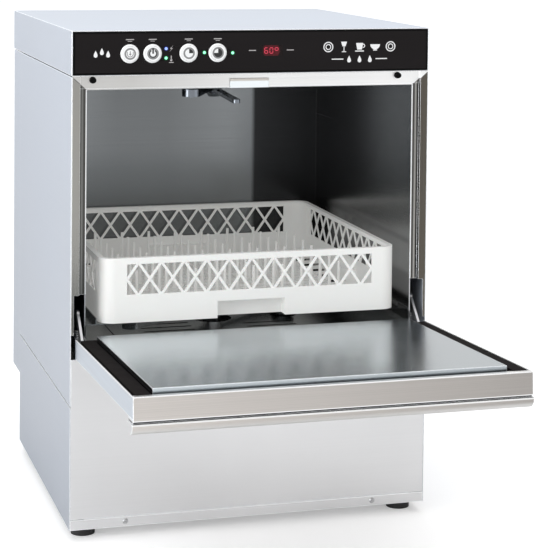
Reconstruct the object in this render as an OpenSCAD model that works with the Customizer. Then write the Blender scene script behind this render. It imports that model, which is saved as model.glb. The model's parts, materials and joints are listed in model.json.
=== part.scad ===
// Undercounter commercial dishwasher with a drop-down front door.
// Origin: floor level, centred on the width and on the depth of the top cover.
// +Z is up and -Y is the front, where the operator stands.

/* [Cabinet] */
// Overall width
body_w = 600; // [580:5:640]
// Depth of the top cover, which is the depth of the whole cabinet
body_d = 600; // [590:5:640]
// Depth of the side panels, in front of the rear service housing
side_d = 514; // [508:2:520]
// Height of the cabinet above the underside of its base
body_h = 794; // [790:1:810]
// Height of the control panel and of the top cover
panel_h = 72; // [66:1:76]
// Height of the lower side panels
lower_h = 198; // [170:2:210]
// Thickness of the casing sheets
sheet = 1.5; // [1:0.1:1.8]

/* [Feet] */
// Height of the base above the floor
foot_h = 18; // [16:1:24]
// Radius of a foot pad
foot_r = 19.5; // [15:0.5:22]
// Radius of a foot's threaded stud
stud_r = 5; // [4:0.5:6]

/* [Door] */
// Width of the door
door_w = 587; // [580:1:590]
// Distance from the hinge axis to the door's free edge
door_len = 422.5; // [410:0.5:423]
// Upward slope of the open door, in degrees, which drains it into the tank
door_tilt = 2.6; // [0:0.1:4]
// Height of the hinge axis
hinge_z = 315; // [313:1:317]
// Distance of the hinge axis in front of the cabinet
hinge_out = 13; // [12:0.5:15]
// Height of the door's rim above the hinge axis, with the door open
rim_w = 11.1; // [10:0.1:11.5]
// Depth of the door from rim to skin
door_t = 31; // [28:0.5:34]

/* [Wash chamber] */
// Inner width of the chamber
tank_w = 548; // [546:1:550]
// Height of the chamber's floor
tank_floor = 285; // [280:1:288]
// Height of the chamber's ceiling
tank_top = 733; // [728:1:734]
// Height of the sill under the door opening
sill_z = 318; // [312:1:320]

/* [Rack] */
// Length of one side of the square rack
rack_w = 500; // [490:1:502]
// Height of the rack
rack_h = 104; // [90:1:110]
// Height of the rack's underside
rack_z = 343.5; // [343.5:0.5:345]
// Number of lattice cells along one side
rack_cells = 11; // [6:1:12]
// Number of pegs along each side of the peg field
rack_pegs = 8; // [4:1:10]

/* [Controls] */
// Radius of a push button's cap
button_r = 12; // [10:0.1:12.2]
// Travel of a push button
button_travel = 2; // [1:0.5:3]

/* [Hidden] */

$fn = 48;
eps = 0.05;            // overshoot of a cutting tool
run = 0.05;            // radial clearance of a running fit

// Planes of the cabinet
xo = body_w / 2;                  // outer face of a side
xi = xo - sheet;                  // inner face of a side
yf = -body_d / 2;                 // front plane
yr = body_d / 2;                  // back plane
ys = yf + side_d;                 // back edge of the side panels
zb = foot_h;                      // underside of the base
zt = zb + body_h;                 // top
zc = zt - panel_h;                // lower edge of the control panel
zl = zb + lower_h;                // seam between lower and upper side panels
seam = 0.9;                       // half the gap at a seam
flange = 18;                      // width of a folded return

// Door frame
jamb_x = 286;                     // inner edge of a jamb's front face
step_y = yf + 8.5;                // front face of the recessed jamb step
tank_y = yf + 10;                 // front edge of the chamber
slot_z = 393;                     // upper end of a hinge slot
head_z = zc - 23;                 // lower edge of the header
head_y = yf + 6;                  // front face of the header
kick_h = 16;                      // height of the kick strip
front_top = 292;                  // upper edge of the lower front panel
bumper_x = [-265, 247];           // rubber stops on the header
bumper_z = zc - 6.5;
catch_x = [-40, 24];              // ends of the door catch
catch_h = 15;
screw_x = 209;                    // screws of the kick strip
screw_z = zb + 8.5;

// Chamber
ti = tank_w / 2;                  // inner face of a chamber side
to = ti + sheet;                  // outer face of a chamber side
tank_back = ys + 2;               // inner face of the chamber's back
arm_y = (tank_y + tank_back) / 2 - 5;   // centre of the spray arms
well = [185, 165];                // half width and half depth of the sump well
well_z = 251.5;                   // floor of the sump well
heater_r = 60;                    // radius of the heater ring
drain_hole_x = 130;               // drain and standpipe, to the right of the hub
water_z = 300;                    // water level, set by the standpipe

// Hinge axis
hy = yf - hinge_out;
hz = hinge_z;
hole_r = 4;                       // radius of a hinge pin
eye_r = 9;                        // radius round a hinge eye
lever_len = 60;                   // hinge axis to spring eye
lever_up = 45;                    // slope of the lever with the door open
notch = 14;                       // clear length at the hinge corners of the door
plateau_x = 262;                  // half width of the door's raised plateau
plateau_u = head_z - hz;          // its far edge, which passes just under the header
plateau_w = rim_w + 6.2;          // its height above the hinge axis
pin_x = 289.5;                    // inner face of a hinge pin's head
spring_x = 283;                   // middle of a hinge arm and of its spring
spring_y = hy + lever_len * cos(lever_up);
spring_top = hz + lever_len * sin(lever_up);
anchor_z = 62;

// Layout of the controls on the panel
button_x = [-207, -170, -111, -63];
button_z = zc + 35;
face_y = yf - 0.5;                // front face of the control panel
panel_t = 2.5;                    // thickness of the control panel
bezel_r = 13.8;                   // radius of a bezel in the fascia
switch_y = face_y + 14.8;         // tips of the switches on the circuit board
led_r = 2.2;
led_pos = [[-148, 42.5], [-148, 27.5], [-85, 35.5], [-38, 34.5]];

// Rack
rack_wall = 3;                    // wall thickness
rack_corner = 24;                 // outer radius of the corners
rack_win = 207;                   // half length of a lattice window
rib_h = 6;                        // height of the floor ribs

// Machinery in the base
pump_y = 40;
pump_z = 120;
riser_z = 228;
riser_y = tank_back + 24;
boiler_x = -212;
boiler_z = 150;
drain_x = 205;
inlet_x = 110;
port_z = 92;
foot_x = 270;
foot_y = [yf + 42, ys - 42];

// A block between two corners
module block(lo, hi) { translate(lo) cube(hi - lo); }

// Children and their mirror image on the other side
module both() {
    children();
    mirror([1, 0, 0]) children();
}

// A cylinder along X, from x0 to x1, at y and z
module rod_x(x0, x1, y, z, r) {
    translate([x0, y, z]) rotate([0, 90, 0]) cylinder(h = x1 - x0, r = r);
}

// A cylinder along Y, from y0 to y1, at x and z
module rod_y(y0, y1, x, z, r) {
    translate([x, y0, z]) rotate([-90, 0, 0]) cylinder(h = y1 - y0, r = r);
}

// A cylinder along Z, from z0 to z1, at x and y
module rod_z(z0, z1, x, y, r) {
    translate([x, y, z0]) cylinder(h = z1 - z0, r = r);
}

// A flat rectangle with round corners, centred
module round_rect(w, d, r) {
    square([w - 2 * r, d], center = true);
    square([w, d - 2 * r], center = true);
    for (sx = [-1, 1], sy = [-1, 1])
        translate([sx * (w / 2 - r), sy * (d / 2 - r)]) circle(r);
}

// A flat outline in the YZ plane, extruded to both sides of X = 0
module profile_x(half) {
    translate([-half, 0, 0]) rotate([90, 0, 90]) linear_extrude(2 * half) children();
}

// Children drawn in door coordinates: X is across, Y runs from the hinge axis
// towards the free edge, and Z points out of the door's inner face.
module door_place() {
    translate([0, hy, hz]) rotate([-door_tilt, 0, 0]) mirror([0, 1, 0]) children();
}

// ---------------------------------------------------------------- cabinet

// Folded tray that carries the machinery and holds the threaded foot bosses
module base_frame() color("silver") {
    wall_h = 40;
    difference() {
        union() {
            block([-xi, yf + sheet, zb], [xi, ys - sheet, zb + 2]);
            both() block([xi - sheet, yf + sheet, zb + 2], [xi, ys - sheet, zb + wall_h]);
            block([-xi + sheet, yf + sheet, zb + 2], [xi - sheet, yf + 2 * sheet, zb + wall_h]);
            block([-xi + sheet, ys - 2 * sheet, zb + 2], [xi - sheet, ys - sheet, zb + wall_h]);
            for (y = foot_y) both() rod_z(zb + 2, zb + 22, foot_x, y, 15);
        }
        for (y = foot_y) both() rod_z(zb - eps, zb + 22 + eps, foot_x, y, stud_r + run);
        both() rod_y(yf, yf + 5, screw_x, screw_z, 2.1);
    }
}

// Welded door frame: jambs with a recessed step, header and sill
module front_frame() color("gainsboro") {
    both() {
        block([jamb_x, yf, slot_z], [xi, yf + sheet, zc]);
        block([xi - 4, yf, hinge_z + 15], [xi, yf + sheet, slot_z]);
        block([jamb_x, yf + sheet, slot_z], [jamb_x + sheet, step_y, zc]);
        block([ti, step_y, slot_z], [jamb_x + sheet, tank_y, zc]);
    }
    difference() {
        union() {
            block([-ti, head_y, head_z + 3], [ti, tank_y, zc]);
            rod_x(-ti, ti, head_y + 2, head_z + 2, 2);
            block([-ti, head_y + 2, head_z], [ti, tank_y, head_z + 3]);
            both() block([ti, head_y, head_z + 3], [jamb_x, step_y, zc]);
        }
        block([catch_x[0] - 1, head_y - eps, head_z - eps],
            [catch_x[1] + 1, head_y + 3.5, head_z + catch_h + 1]);
        for (x = bumper_x) rod_y(head_y - eps, head_y + 3, x, bumper_z, 3);
    }
    block([-ti + 2, yf, front_top], [ti - 2, yf + sheet, sill_z - sheet]);
    block([-ti + 2, yf, sill_z - sheet], [ti - 2, tank_y, sill_z]);
}

// Deep-drawn wash chamber with a sump well in its floor
module wash_tank() color("silver") {
    difference() {
        union() {
            block([-to, tank_y, tank_floor - sheet], [to, tank_back + sheet, tank_top + sheet]);
            translate([0, arm_y, well_z - sheet])
                linear_extrude(tank_floor - well_z) round_rect(2 * well.x, 2 * well.y, 30);
        }
        block([-ti, tank_y + sheet, tank_floor], [ti, tank_back, tank_top]);
        block([-ti, tank_y - eps, sill_z], [ti, tank_y + 2, tank_top]);
        translate([0, arm_y, well_z])
            linear_extrude(50) round_rect(2 * (well.x - sheet), 2 * (well.y - sheet), 30 - sheet);
        rod_z(well_z - 5, well_z + 5, 0, arm_y, 10.5);
        rod_z(well_z - 5, well_z + 5, -80, pump_y, 17);
        rod_z(well_z - 5, well_z + 5, drain_hole_x, arm_y, 11);
        for (a = [20, 340]) translate([0, arm_y, 0]) rotate([0, 0, a])
            rod_z(well_z - 5, well_z + 5, heater_r, 0, 5);
        rod_z(tank_top - 5, tank_top + 5, 0, arm_y, 10.5);
    }
}

// One upper side panel, on the +X side
module side_panel() {
    block([xi, yf, zl + seam], [xo, ys, zc - seam]);
    block([xi - flange, ys - sheet, zl + seam], [xi, ys, zc - seam]);
}

module side_panel_left() color("lightsteelblue") mirror([1, 0, 0]) side_panel();
module side_panel_right() color("lightsteelblue") side_panel();

// One lower side panel, on the +X side
module lower_panel() {
    block([xi, yf, zb], [xo, ys, zl - seam]);
    block([xi - flange, ys - sheet, zb], [xi, ys, zl - seam]);
}

module lower_panel_left() color("lightsteelblue") mirror([1, 0, 0]) lower_panel();
module lower_panel_right() color("lightsteelblue") lower_panel();

// Cap over the chamber and the rear housing
module top_cover() color("lightblue") {
    block([-xo, yf, zt - sheet], [xo, yr, zt]);
    both() block([xi, yf, zc + seam], [xo, yr, zt - sheet]);
    block([-xi, yr - sheet, zc + seam], [xi, yr, zt - sheet]);
    block([-xi, yf, zc], [xi, yf + 12, zc + sheet]);
}

// Rear service housing with louvres
module rear_cover() color("gainsboro") {
    z0 = zb + 124;
    x1 = xo - 1;
    difference() {
        union() {
            block([-x1, yr - sheet, z0], [x1, yr, zc - seam]);
            both() block([x1 - sheet, ys, z0], [x1, yr - sheet, zc - seam]);
            block([-x1 + sheet, ys, z0], [x1 - sheet, yr - sheet, z0 + sheet]);
        }
        for (sx = [-1, 1], k = [0 : 7])
            translate([sx * 130, yr - 1, 240 + 16 * k]) rotate([90, 0, 0])
                linear_extrude(6, center = true) round_rect(120, 5, 2.4);
    }
}

// Closing panel at the back of the base, with the service ports
module rear_lower_panel() color("gainsboro") {
    w = xi - flange;
    difference() {
        block([-w, ys - sheet, zb], [w, ys, riser_z - 28]);
        rod_y(ys - 5, ys + 5, inlet_x, port_z, 13.5);
        rod_y(ys - 5, ys + 5, drain_x, port_z, 12.3);
    }
}

// Removable lower front panel with folded edges
module front_panel() color("whitesmoke") {
    z0 = zb + kick_h + seam;
    z1 = front_top - seam;
    block([-xi, yf, z0], [xi, yf + sheet, z1]);
    block([-ti + 4, yf + sheet, z1 - sheet], [ti - 4, tank_y - 1, z1]);
    both() block([xi - sheet, yf + sheet, z0 + 46], [xi, yf + flange, z1 - 60]);
}

// Kick strip screwed to the base
module kick_strip() color("whitesmoke") difference() {
    block([-xi, yf, zb], [xi, yf + sheet, zb + kick_h]);
    both() rod_y(yf - 1, yf + 3, screw_x, screw_z, 2.1);
}

// Pan-head screws of the kick strip
module panel_screws() color("dimgray") both() difference() {
    union() {
        translate([screw_x, yf, screw_z]) rotate([90, 0, 0]) cylinder(h = 2.2, r1 = 4.5, r2 = 3);
        rod_y(yf, yf + 10, screw_x, screw_z, 2);
    }
    block([screw_x - 5, yf - 3, screw_z - 0.5], [screw_x + 5, yf - 1.2, screw_z + 0.5]);
}

// Folded rails that carry the rack along both sides of the chamber
module rack_guides() color("silver") both() {
    block([ti - 39, tank_y + 4, rack_z - 2], [ti, tank_back - 2, rack_z - 0.5]);
    block([ti - sheet, tank_y + 4, rack_z - 22], [ti, tank_back - 2, rack_z - 2]);
    block([ti - 19, tank_y + 4, rack_z - 0.5], [ti - 17.5, tank_back - 2, rack_z + 9]);
}

// Slotted filter plate over the well, and the basket that hangs in it
module sump_filter() color("lightgray") {
    translate([0, arm_y, tank_floor]) linear_extrude(1.5) difference() {
        round_rect(2 * well.x + 16, 2 * well.y + 16, 30);
        circle(r = 34);
        translate([drain_hole_x, 0]) circle(r = 24);
        for (k = [-5 : 5]) translate([-95, k * 26]) round_rect(90, 6, 2.9);
        for (s = [-1, 1], k = [2 : 5]) translate([87, s * k * 26]) round_rect(90, 6, 2.9);
    }
    translate([-80, pump_y, 0]) difference() {
        translate([0, 0, well_z + 2]) cylinder(h = 26, r = 32);
        translate([0, 0, well_z + 3.5]) cylinder(h = 30, r = 30.5);
        for (a = [0 : 30 : 150]) rotate([0, 0, a])
            block([-40, -2.5, well_z + 8], [40, 2.5, well_z + 22]);
        translate([0, 0, well_z]) cylinder(h = 10, r = 14);
    }
}

// Overflow pipe that plugs the drain and sets the water level
module standpipe() color("gainsboro") translate([drain_hole_x, arm_y, 0]) {
    difference() {
        union() {
            rod_z(well_z, well_z + 4, 0, 0, 20);
            rod_z(well_z + 4, water_z, 0, 0, 13);
            rod_z(water_z - 5, water_z, 0, 0, 20);
        }
        rod_z(well_z - 2, water_z + 2, 0, 0, 11.5);
        for (a = [0, 90]) rotate([0, 0, a]) block([-25, -4, water_z - 14], [25, 4, water_z - 7]);
    }
}

// Tubular heater round the hub in the well
module tank_heater() color("darkgray") translate([0, arm_y, 0]) {
    translate([0, 0, well_z + 14]) rotate([0, 0, 20])
        rotate_extrude(angle = 320) translate([heater_r, 0]) circle(r = 4);
    for (a = [20, 340]) rotate([0, 0, a]) {
        rod_z(well_z - 14, well_z + 14, heater_r, 0, 4);
        translate([heater_r, 0, well_z + 14]) sphere(r = 4);
        rod_z(well_z - 7, well_z - sheet, heater_r, 0, 9);
    }
}

// Booster boiler for the hot rinse, on two saddles
module boiler() color("gray") {
    r = 52;
    difference() {
        union() {
            rod_y(-170, 110, boiler_x, boiler_z, r);
            translate([boiler_x, 110, boiler_z]) rotate([-90, 0, 0]) cylinder(h = 16, r1 = r, r2 = 34);
            rod_y(-176, -170, boiler_x, boiler_z, r + 6);
            for (y = [-130, 70]) {
                block([boiler_x - 34, y, zb + 2], [boiler_x + 34, y + 3, boiler_z]);
                rod_z(boiler_z + 40, boiler_z + 62, boiler_x, y + 12, 7);
            }
        }
        rod_y(-180, 108, boiler_x, boiler_z, r - 2);
        for (y = [-118, 82]) rod_z(boiler_z + 30, boiler_z + 70, boiler_x, y, 5);
    }
}

// Flanged heating element of the boiler
module boiler_element() color("brown") {
    rod_y(-182, -176, boiler_x, boiler_z, 56);
    for (a = [0 : 120 : 240]) translate([boiler_x, 0, boiler_z]) rotate([0, a, 0]) {
        rod_y(-176, 60, 24, 8, 4);
        rod_y(-176, 60, 24, -8, 4);
        translate([24, 60, 0]) rotate([0, 90, 0])
            rotate_extrude(angle = 180) translate([8, 0]) circle(r = 4);
        rod_y(-196, -182, 24, 8, 2.5);
        rod_y(-196, -182, 24, -8, 2.5);
    }
}

// Wash pump motor with cooling fins and a mounting foot
module wash_pump_motor() color("dimgray") {
    r = 46;
    difference() {
        union() {
            rod_x(21, 165, pump_y, pump_z, r);
            for (x = [34 : 12 : 118]) rod_x(x, x + 4, pump_y, pump_z, r + 6);
            block([130, pump_y - 22, pump_z + 30], [160, pump_y + 22, pump_z + 66]);
            block([40, pump_y - 34, zb + 2], [44, pump_y + 34, pump_z - 20]);
            block([130, pump_y - 34, zb + 2], [134, pump_y + 34, pump_z - 20]);
        }
        rod_x(27, 155, pump_y, pump_z, r - 5);
        rod_x(20, 160, pump_y, pump_z, 6 + run);
    }
}

// Plastic pump housing with its suction and pressure spigots
module wash_pump_volute() color("ivory") {
    difference() {
        union() {
            rod_x(-19, 21, pump_y, pump_z, 58);
            rod_x(-50, -19, pump_y, pump_z, 20);
            rod_z(pump_z + 50, pump_z + 84, 0, pump_y, 16);
        }
        rod_x(-15, 17, pump_y, pump_z, 46);
        rod_x(-51, -10, pump_y, pump_z, 17);
        rod_z(pump_z + 40, pump_z + 85, 0, pump_y, 13);
        rod_x(10, 22, pump_y, pump_z, 9);
    }
}

// Shaft and impeller of the wash pump
module pump_rotor() color("steelblue") {
    rod_x(-8, 158, pump_y, pump_z, 6);
    rod_x(45, 140, pump_y, pump_z, 34);
    difference() {
        rod_x(-6, 6, pump_y, pump_z, 42);
        for (a = [0 : 60 : 300]) translate([0, pump_y, pump_z]) rotate([a, 0, 0])
            block([-7, 14, -3], [2, 38, 3]);
    }
}

// Drain pump on its bracket
module drain_pump() color("darkslategray") {
    rod_y(-200, -130, drain_x, port_z, 28);
    rod_y(-130, -100, drain_x, port_z, 22);
    rod_y(-100, -78, drain_x, port_z, 10);
    block([drain_x - 20, -190, zb + 2], [drain_x + 20, -140, port_z - 18]);
}

// Drain hose to the spigot at the back
module drain_hose() color("dimgray") {
    difference() {
        union() {
            rod_y(-95, 175, drain_x, port_z, 13);
            for (k = [0 : 16]) rod_y(-70 + 14 * k, -65 + 14 * k, drain_x, port_z, 14.5);
            rod_y(175, ys - sheet - 4, drain_x, port_z, 17);
            rod_y(ys - sheet - 4, ys + 40, drain_x, port_z, 12);
            rod_y(ys + 8, ys + 11, drain_x, port_z, 17);
        }
        rod_y(-96, ys + 41, drain_x, port_z, 10 + run);
    }
}

// Peristaltic pumps for detergent and rinse aid
module dosing_pumps() color("royalblue") for (x = [40, 110]) {
    block([x - 24, -270, zb + 2], [x + 24, -215, 92]);
    rod_y(-282, -270, x, 62, 22);
}

// Solenoid inlet valve with its threaded connector
module inlet_valve() color("goldenrod") {
    difference() {
        union() {
            rod_y(ys - 46, ys + 0.5, inlet_x, port_z, 12.6);
            rod_y(ys - 8, ys - sheet, inlet_x, port_z, 20);
            rod_y(ys + 0.5, ys + 20, inlet_x, port_z, 13.2);
        }
        rod_y(ys - 20, ys + 21, inlet_x, port_z, 8);
    }
    block([inlet_x - 14, ys - 74, port_z - 16], [inlet_x + 14, ys - 46, port_z + 16]);
    rod_z(port_z + 16, port_z + 52, inlet_x, ys - 60, 14);
}

// Path of the pressure pipe: pump to both hubs
module riser_path(r, over = 0) {
    rod_z(pump_z + 84, riser_z, 0, pump_y, r);
    rod_y(arm_y, riser_y, 0, riser_z, r);
    translate([0, arm_y, riser_z]) sphere(r = r);
    translate([0, riser_y, riser_z]) sphere(r = r);
    rod_z(riser_z, well_z - sheet + over, 0, arm_y, r);
    rod_z(riser_z, tank_top + 24, 0, riser_y, r);
    translate([0, riser_y, tank_top + 24]) sphere(r = r);
    rod_y(arm_y, riser_y, 0, tank_top + 24, r);
    translate([0, arm_y, tank_top + 24]) sphere(r = r);
    rod_z(tank_top + sheet - over, tank_top + 24, 0, arm_y, r);
}

module wash_riser() color("lightgray") difference() {
    union() {
        riser_path(13);
        rod_z(pump_z + 84, pump_z + 88, 0, pump_y, 16);
    }
    riser_path(11, 1);
    rod_z(pump_z + 83, pump_z + 90, 0, pump_y, 11);
}

// Rubber hose from the well to the pump
module suction_hose() color("dimgray") {
    difference() {
        union() {
            rod_z(150, well_z - sheet, -80, pump_y, 23);
            rod_x(-50, -36, pump_y, pump_z, 23);
            translate([-50, pump_y, 150]) rotate([90, 0, 0])
                rotate([0, 0, 180]) rotate_extrude(angle = 90) translate([30, 0]) circle(r = 23);
        }
        rod_z(149.9, well_z, -80, pump_y, 17);
        translate([-50, pump_y, 150]) rotate([90, 0, 0])
            rotate([0, 0, 179.9]) rotate_extrude(angle = 90.2) translate([30, 0]) circle(r = 17);
        rod_x(-50, -35, pump_y, pump_z, 20 + run);
    }
}

// Fixed hub of the lower spray arms
module lower_hub() color("gainsboro") translate([0, arm_y, 0]) {
    difference() {
        union() {
            rod_z(well_z, well_z + 4, 0, 0, 28);
            rod_z(well_z + 4, 304, 0, 0, 16);
            rod_z(304, 334, 0, 0, 9);
        }
        rod_z(well_z - 1, 315, 0, 0, 6);
    }
    difference() {
        rod_z(334, 339, 0, 0, 15);
        rod_z(336, 340, 0, 0, 3);
    }
}

// Fixed hub of the upper spray arms
module upper_hub() color("gainsboro") translate([0, arm_y, 0]) {
    difference() {
        union() {
            rod_z(tank_top - 4, tank_top, 0, 0, 28);
            rod_z(713, tank_top - 4, 0, 0, 16);
            rod_z(686, 713, 0, 0, 9);
        }
        rod_z(700, tank_top + 1, 0, 0, 6);
    }
    translate([0, 0, 678]) cylinder(h = 8, r1 = 9, r2 = 15);
}

// ---------------------------------------------------------------- spray arms

// A two-bladed arm: half length, height, blade width, bore radius and jets
module spray_arm(half, h, w, bore_r, jets, up) {
    difference() {
        union() {
            linear_extrude(h) {
                square([2 * half - w, w], center = true);
                for (s = [-1, 1]) translate([s * (half - w / 2), 0]) circle(d = w);
                circle(d = w + 14);
            }
            for (s = [-1, 1], k = [1 : jets])
                translate([s * (30 + k * (half - 50) / jets), 0, up ? h : -2])
                    cylinder(h = 2, r = w * 0.18);
        }
        translate([0, 0, -3]) cylinder(h = h + 6, r = bore_r);
    }
}

module lower_wash_arm() color("whitesmoke")
    translate([0, arm_y, 305]) rotate([0, 0, 35]) spray_arm(225, 12, 30, 9 + run, 5, true);
module lower_rinse_arm() color("silver")
    translate([0, arm_y, 322]) rotate([0, 0, -40]) spray_arm(220, 7, 13, 9 + run, 5, true);
module upper_wash_arm() color("whitesmoke")
    translate([0, arm_y, 699]) rotate([0, 0, 65]) spray_arm(228, 12, 30, 9 + run, 5, false);
module upper_rinse_arm() color("silver")
    translate([0, arm_y, 688.5]) rotate([0, 0, 85]) spray_arm(220, 6, 13, 9 + run, 5, false);

// ---------------------------------------------------------------- controls

// Fascia with openings for the buttons, the display and the lamps
module control_panel() color([0.13, 0.12, 0.12]) difference() {
    block([-xi + 1, face_y, zc + 2], [xi - 1, face_y + panel_t, zt - 2]);
    for (x = button_x) rod_y(face_y - 1, face_y + 5, x, button_z, bezel_r + run);
    for (p = led_pos) rod_y(face_y - 1, face_y + 5, p.x, zc + p.y, led_r + run);
    block([8, face_y - 1, zc + 29], [46, face_y + 5, zc + 46]);
}

// Display window set in the fascia
module display_window() color("darkred")
    block([8, face_y + 0.3, zc + 29], [46, face_y + panel_t, zc + 46]);

// Indicator lamps
module led_lenses() color("lime") for (p = led_pos) {
    rod_y(face_y - 0.6, face_y + panel_t, p.x, zc + p.y, led_r);
    rod_y(face_y + panel_t, face_y + 8, p.x, zc + p.y, led_r + 0.8);
}

// Bezel rings round the buttons
module button_bezels() color("silver") for (x = button_x)
    translate([x, face_y + panel_t, button_z]) rotate([90, 0, 0]) difference() {
        union() {
            cylinder(h = panel_t, r = bezel_r);
            translate([0, 0, panel_t]) cylinder(h = 1.6, r1 = bezel_r + 1.2, r2 = bezel_r - 0.6);
        }
        translate([0, 0, -1]) cylinder(h = 8, r = button_r + 0.2);
    }

// A push button: cap and plunger
module push_button(x) {
    rod_y(face_y - 3.2, face_y + 5, x, button_z, button_r);
    rod_y(face_y + 5, switch_y - button_travel - 0.6, x, button_z, 4);
}

module button_drain() color("whitesmoke") push_button(button_x[0]);
module button_power() color("whitesmoke") push_button(button_x[1]);
module button_short_cycle() color("whitesmoke") push_button(button_x[2]);
module button_long_cycle() color("whitesmoke") push_button(button_x[3]);

// Circuit board with its switches and components, on standoffs
module control_board() color("darkgreen") {
    y0 = switch_y + 5.2;
    block([-240, y0, zc + 8], [70, y0 + 1.6, zc + 62]);
    for (x = button_x) block([x - 6, switch_y, button_z - 6], [x + 6, y0, button_z + 6]);
    for (x = [-190 : 60 : 50]) rod_y(y0 + 1.6, y0 + 18, x, zc + 20, 7);
    block([-60, y0 + 1.6, zc + 32], [-10, y0 + 24, zc + 58]);
    for (x = [-236, 64], z = [zc + 11, zc + 59]) rod_y(face_y + panel_t, y0, x, z, 2.5);
}

// Rubber stops for the door on the header
module door_bumpers() color([0.1, 0.1, 0.1]) for (x = bumper_x) {
    translate([x, head_y, bumper_z]) rotate([90, 0, 0]) cylinder(h = 7, r1 = 5.5, r2 = 4.5);
    rod_y(head_y, head_y + 3, x, bumper_z, 2.95);
}

// Sprung door catch in the header
module door_catch() color("white") {
    block([catch_x[0], head_y - 2.5, head_z + 0.5],
        [catch_x[1], head_y + 0.9, head_z + 0.5 + catch_h]);
}

// ---------------------------------------------------------------- door

// Outer skin: a tray with low side walls
module door_skin() color("lightgray") door_place() {
    x1 = door_w / 2;
    w0 = rim_w - door_t;
    block([-x1, -3, w0], [x1, door_len - 1.5, w0 + 1.2]);
    both() block([x1 - sheet, -3, w0 + 1.2], [x1, door_len - 1.5, rim_w]);
    block([-x1 + sheet, -3, w0 + 1.2], [x1 - sheet, -1.8, w0 + 9]);
}

// Inner pan with a raised plateau that closes the chamber
module door_inner_pan() color("lightsteelblue") door_place() {
    x1 = door_w / 2 - sheet;
    u0 = 12;
    wall = 1.2;
    difference() {
        union() {
            block([-plateau_x, u0, 3], [plateau_x, plateau_u, plateau_w]);
            block([-x1, -1.5, 3], [x1, door_len - 10.5, 3 + wall]);
        }
        block([-plateau_x + wall, u0 + wall, 2], [plateau_x - wall, plateau_u - wall, plateau_w - wall]);
        both() block([ti - 0.5, -3, 2], [x1 + 1, notch, 10]);
    }
}

// Gasket round the pan, with a raised sealing rib down each side
module door_gasket() color([0.15, 0.14, 0.14]) door_place() {
    x0 = plateau_x + 1;
    x1 = door_w / 2 - sheet;
    both() {
        block([x0, notch, 4.2], [x1, door_len - 10.5, rim_w - 2.5]);
        block([x0 + 5, notch, rim_w - 2.5], [x1 - 4, door_len - 10.5, rim_w + 0.5]);
    }
    difference() {
        block([-ti + 2, -1.5, 4.2], [ti - 2, 12, 9]);
        block([-ti + 1, -2.5, 6], [ti - 1, 1, 10]);
    }
}

// Free edge of the door: face band, shadow groove and pull lip
module door_handle() color("lightgray") door_place() {
    bx = door_w / 2;
    lx = xo - 5;
    e = door_len;
    w0 = rim_w - door_t;
    difference() {
        profile_x(bx) polygon([
            [e - 10.5, rim_w], [e, rim_w], [e, -23], [e - 4, -23], [e - 4, -26], [e - 30, -26],
            [e - 30, w0], [e - 1.5, w0], [e - 1.5, rim_w - 1.5], [e - 10.5, rim_w - 1.5]
        ]);
        both() block([bx - sheet, 0, w0], [bx + 1, e - 1.5, rim_w + 1]);
    }
    profile_x(lx) polygon([
        [e - 30, -26], [e, -26], [e + 0.5, -28], [e - 1, -34], [e - 7, -40.5],
        [e - 12, -42], [e - 12, -40.4], [e - 8, -39], [e - 3, -33.4], [e - 1.6, -28.4],
        [e - 2, -27.6], [e - 30, -27.6]
    ]);
}

// Hinge arms: the eye, the leg screwed inside the door and the spring lever
module hinge_arms() color("darkgray") both() difference() {
    t0 = spring_x - 2;
    t1 = spring_x + 2;
    union() {
        rod_x(t0, t1, hy, hz, eye_r);
        door_place() block([t0, 0, -14], [t1, 100, -3]);
        translate([0, hy, hz]) rotate([lever_up, 0, 0]) {
            block([t0, 0, -6], [t1, lever_len, 6]);
            rod_x(t0, t1, lever_len, 0, 7.5);
        }
    }
    rod_x(t0 - 1, t1 + 1, hy, hz, hole_r + run);
    translate([0, hy, hz]) rotate([lever_up, 0, 0]) rod_x(t0 - 1, t1 + 1, lever_len, 0, 3);
}

// Brackets on the chamber sides that carry the pins
module hinge_brackets() color("darkgray") both() difference() {
    t0 = to;
    t1 = to + 3;
    union() {
        rod_x(t0, t1, hy, hz, eye_r);
        block([t0, hy, hz - eye_r], [t1, hy + 33, hz + eye_r]);
    }
    rod_x(t0 - 1, t1 + 1, hy, hz, hole_r + 0.02);
}

// Hinge pins with heads
module hinge_pins() color("silver") both() {
    rod_x(to, pin_x, hy, hz, hole_r);
    rod_x(pin_x, pin_x + 1.5, hy, hz, hole_r + 2);
}

// Extension springs that balance the door, with their end links
module door_springs() color("gray") both() {
    link_z = spring_top - 20;
    translate([spring_x, spring_y, anchor_z]) difference() {
        cylinder(h = link_z - anchor_z, r = 6.5);
        translate([0, 0, -1]) cylinder(h = link_z - anchor_z + 2, r = 4);
    }
    rod_z(link_z, link_z + 3, spring_x, spring_y, 6.5);
    for (x = [spring_x - 5.2, spring_x + 3.2])
        block([x, spring_y - 3, link_z + 3], [x + 2, spring_y + 3, spring_top + 4]);
    rod_x(spring_x - 4, spring_x + 4, spring_y, spring_top, 2.2);
}

// Lower spring anchors on the base
module spring_anchors() color("darkgray") both() {
    block([277, spring_y - 8, anchor_z - 3], [xi - sheet, spring_y + 8, anchor_z]);
    block([xi - sheet - 3, spring_y - 8, zb + 6], [xi - sheet, spring_y + 8, anchor_z - 3]);
}

// ---------------------------------------------------------------- rack and feet

// Children on each of the rack's four sides in turn
module four_sides() {
    for (a = [0 : 90 : 270]) rotate([0, 0, a]) children();
}

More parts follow.
